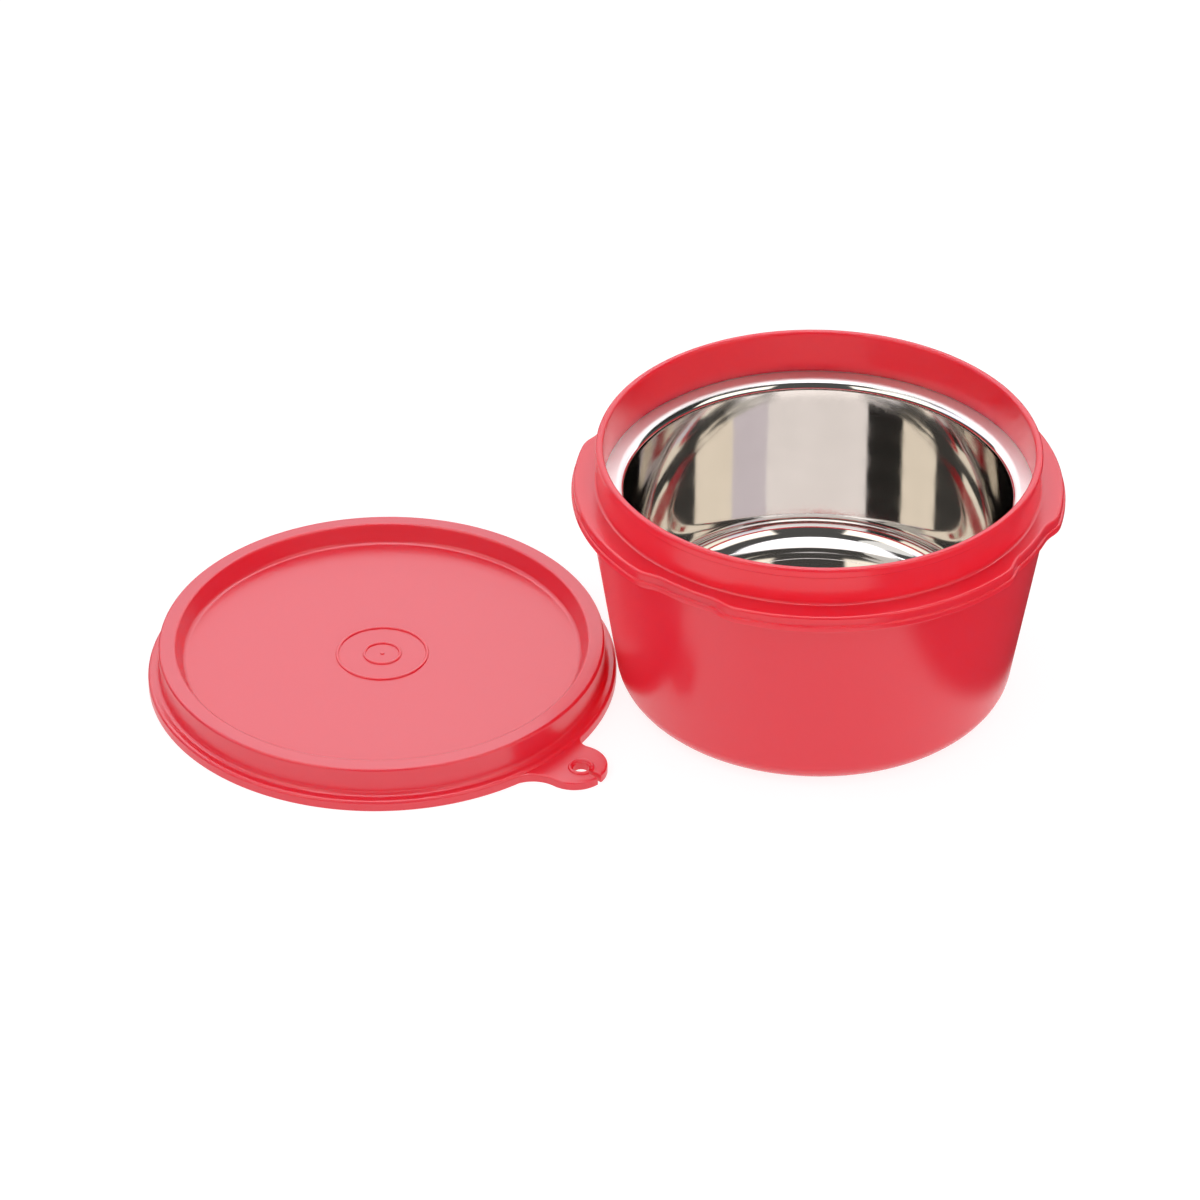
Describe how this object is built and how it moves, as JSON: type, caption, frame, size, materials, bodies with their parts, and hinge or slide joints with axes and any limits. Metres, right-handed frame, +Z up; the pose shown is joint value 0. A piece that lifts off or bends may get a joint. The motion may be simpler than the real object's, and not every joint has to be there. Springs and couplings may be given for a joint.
{
  "type": "steel-lined food bowl with push-on lid",
  "caption": "Round tapered plastic food bowl with a fixed polished steel liner and a scooped collar, its flexible push-on lid with a keyhole pull tab lying beside it.",
  "frame": {"origin": "centre of the footprint of the bowl and the lid beside it, on the table", "axes": "+Z up along the bowl's axis, +X from the lid towards the bowl, -Y towards the viewer"},
  "size_m": [0.2522, 0.1344, 0.075],
  "materials": {
    "bowl_plastic": "glossy moulded coral-red polypropylene",
    "polished_steel": "mirror-polished stainless steel sheet",
    "seal_rubber": "matt translucent silicone",
    "lid_plastic": "satin, slightly milky flexible polyethylene"
  },
  "bodies": {
    "bowl": {"outer_bowl": "bowl_plastic", "rim_collar": "bowl_plastic", "steel_liner": "polished_steel", "liner_seal": "seal_rubber"},
    "lid": {"lid": "lid_plastic"}
  },
  "joints": [
    {"name": "lid_lift", "type": "slide", "parent": "bowl", "child": "lid", "axis": [-0.6, 0, 0.8], "range_m": [0, 0.15]}
  ]
}
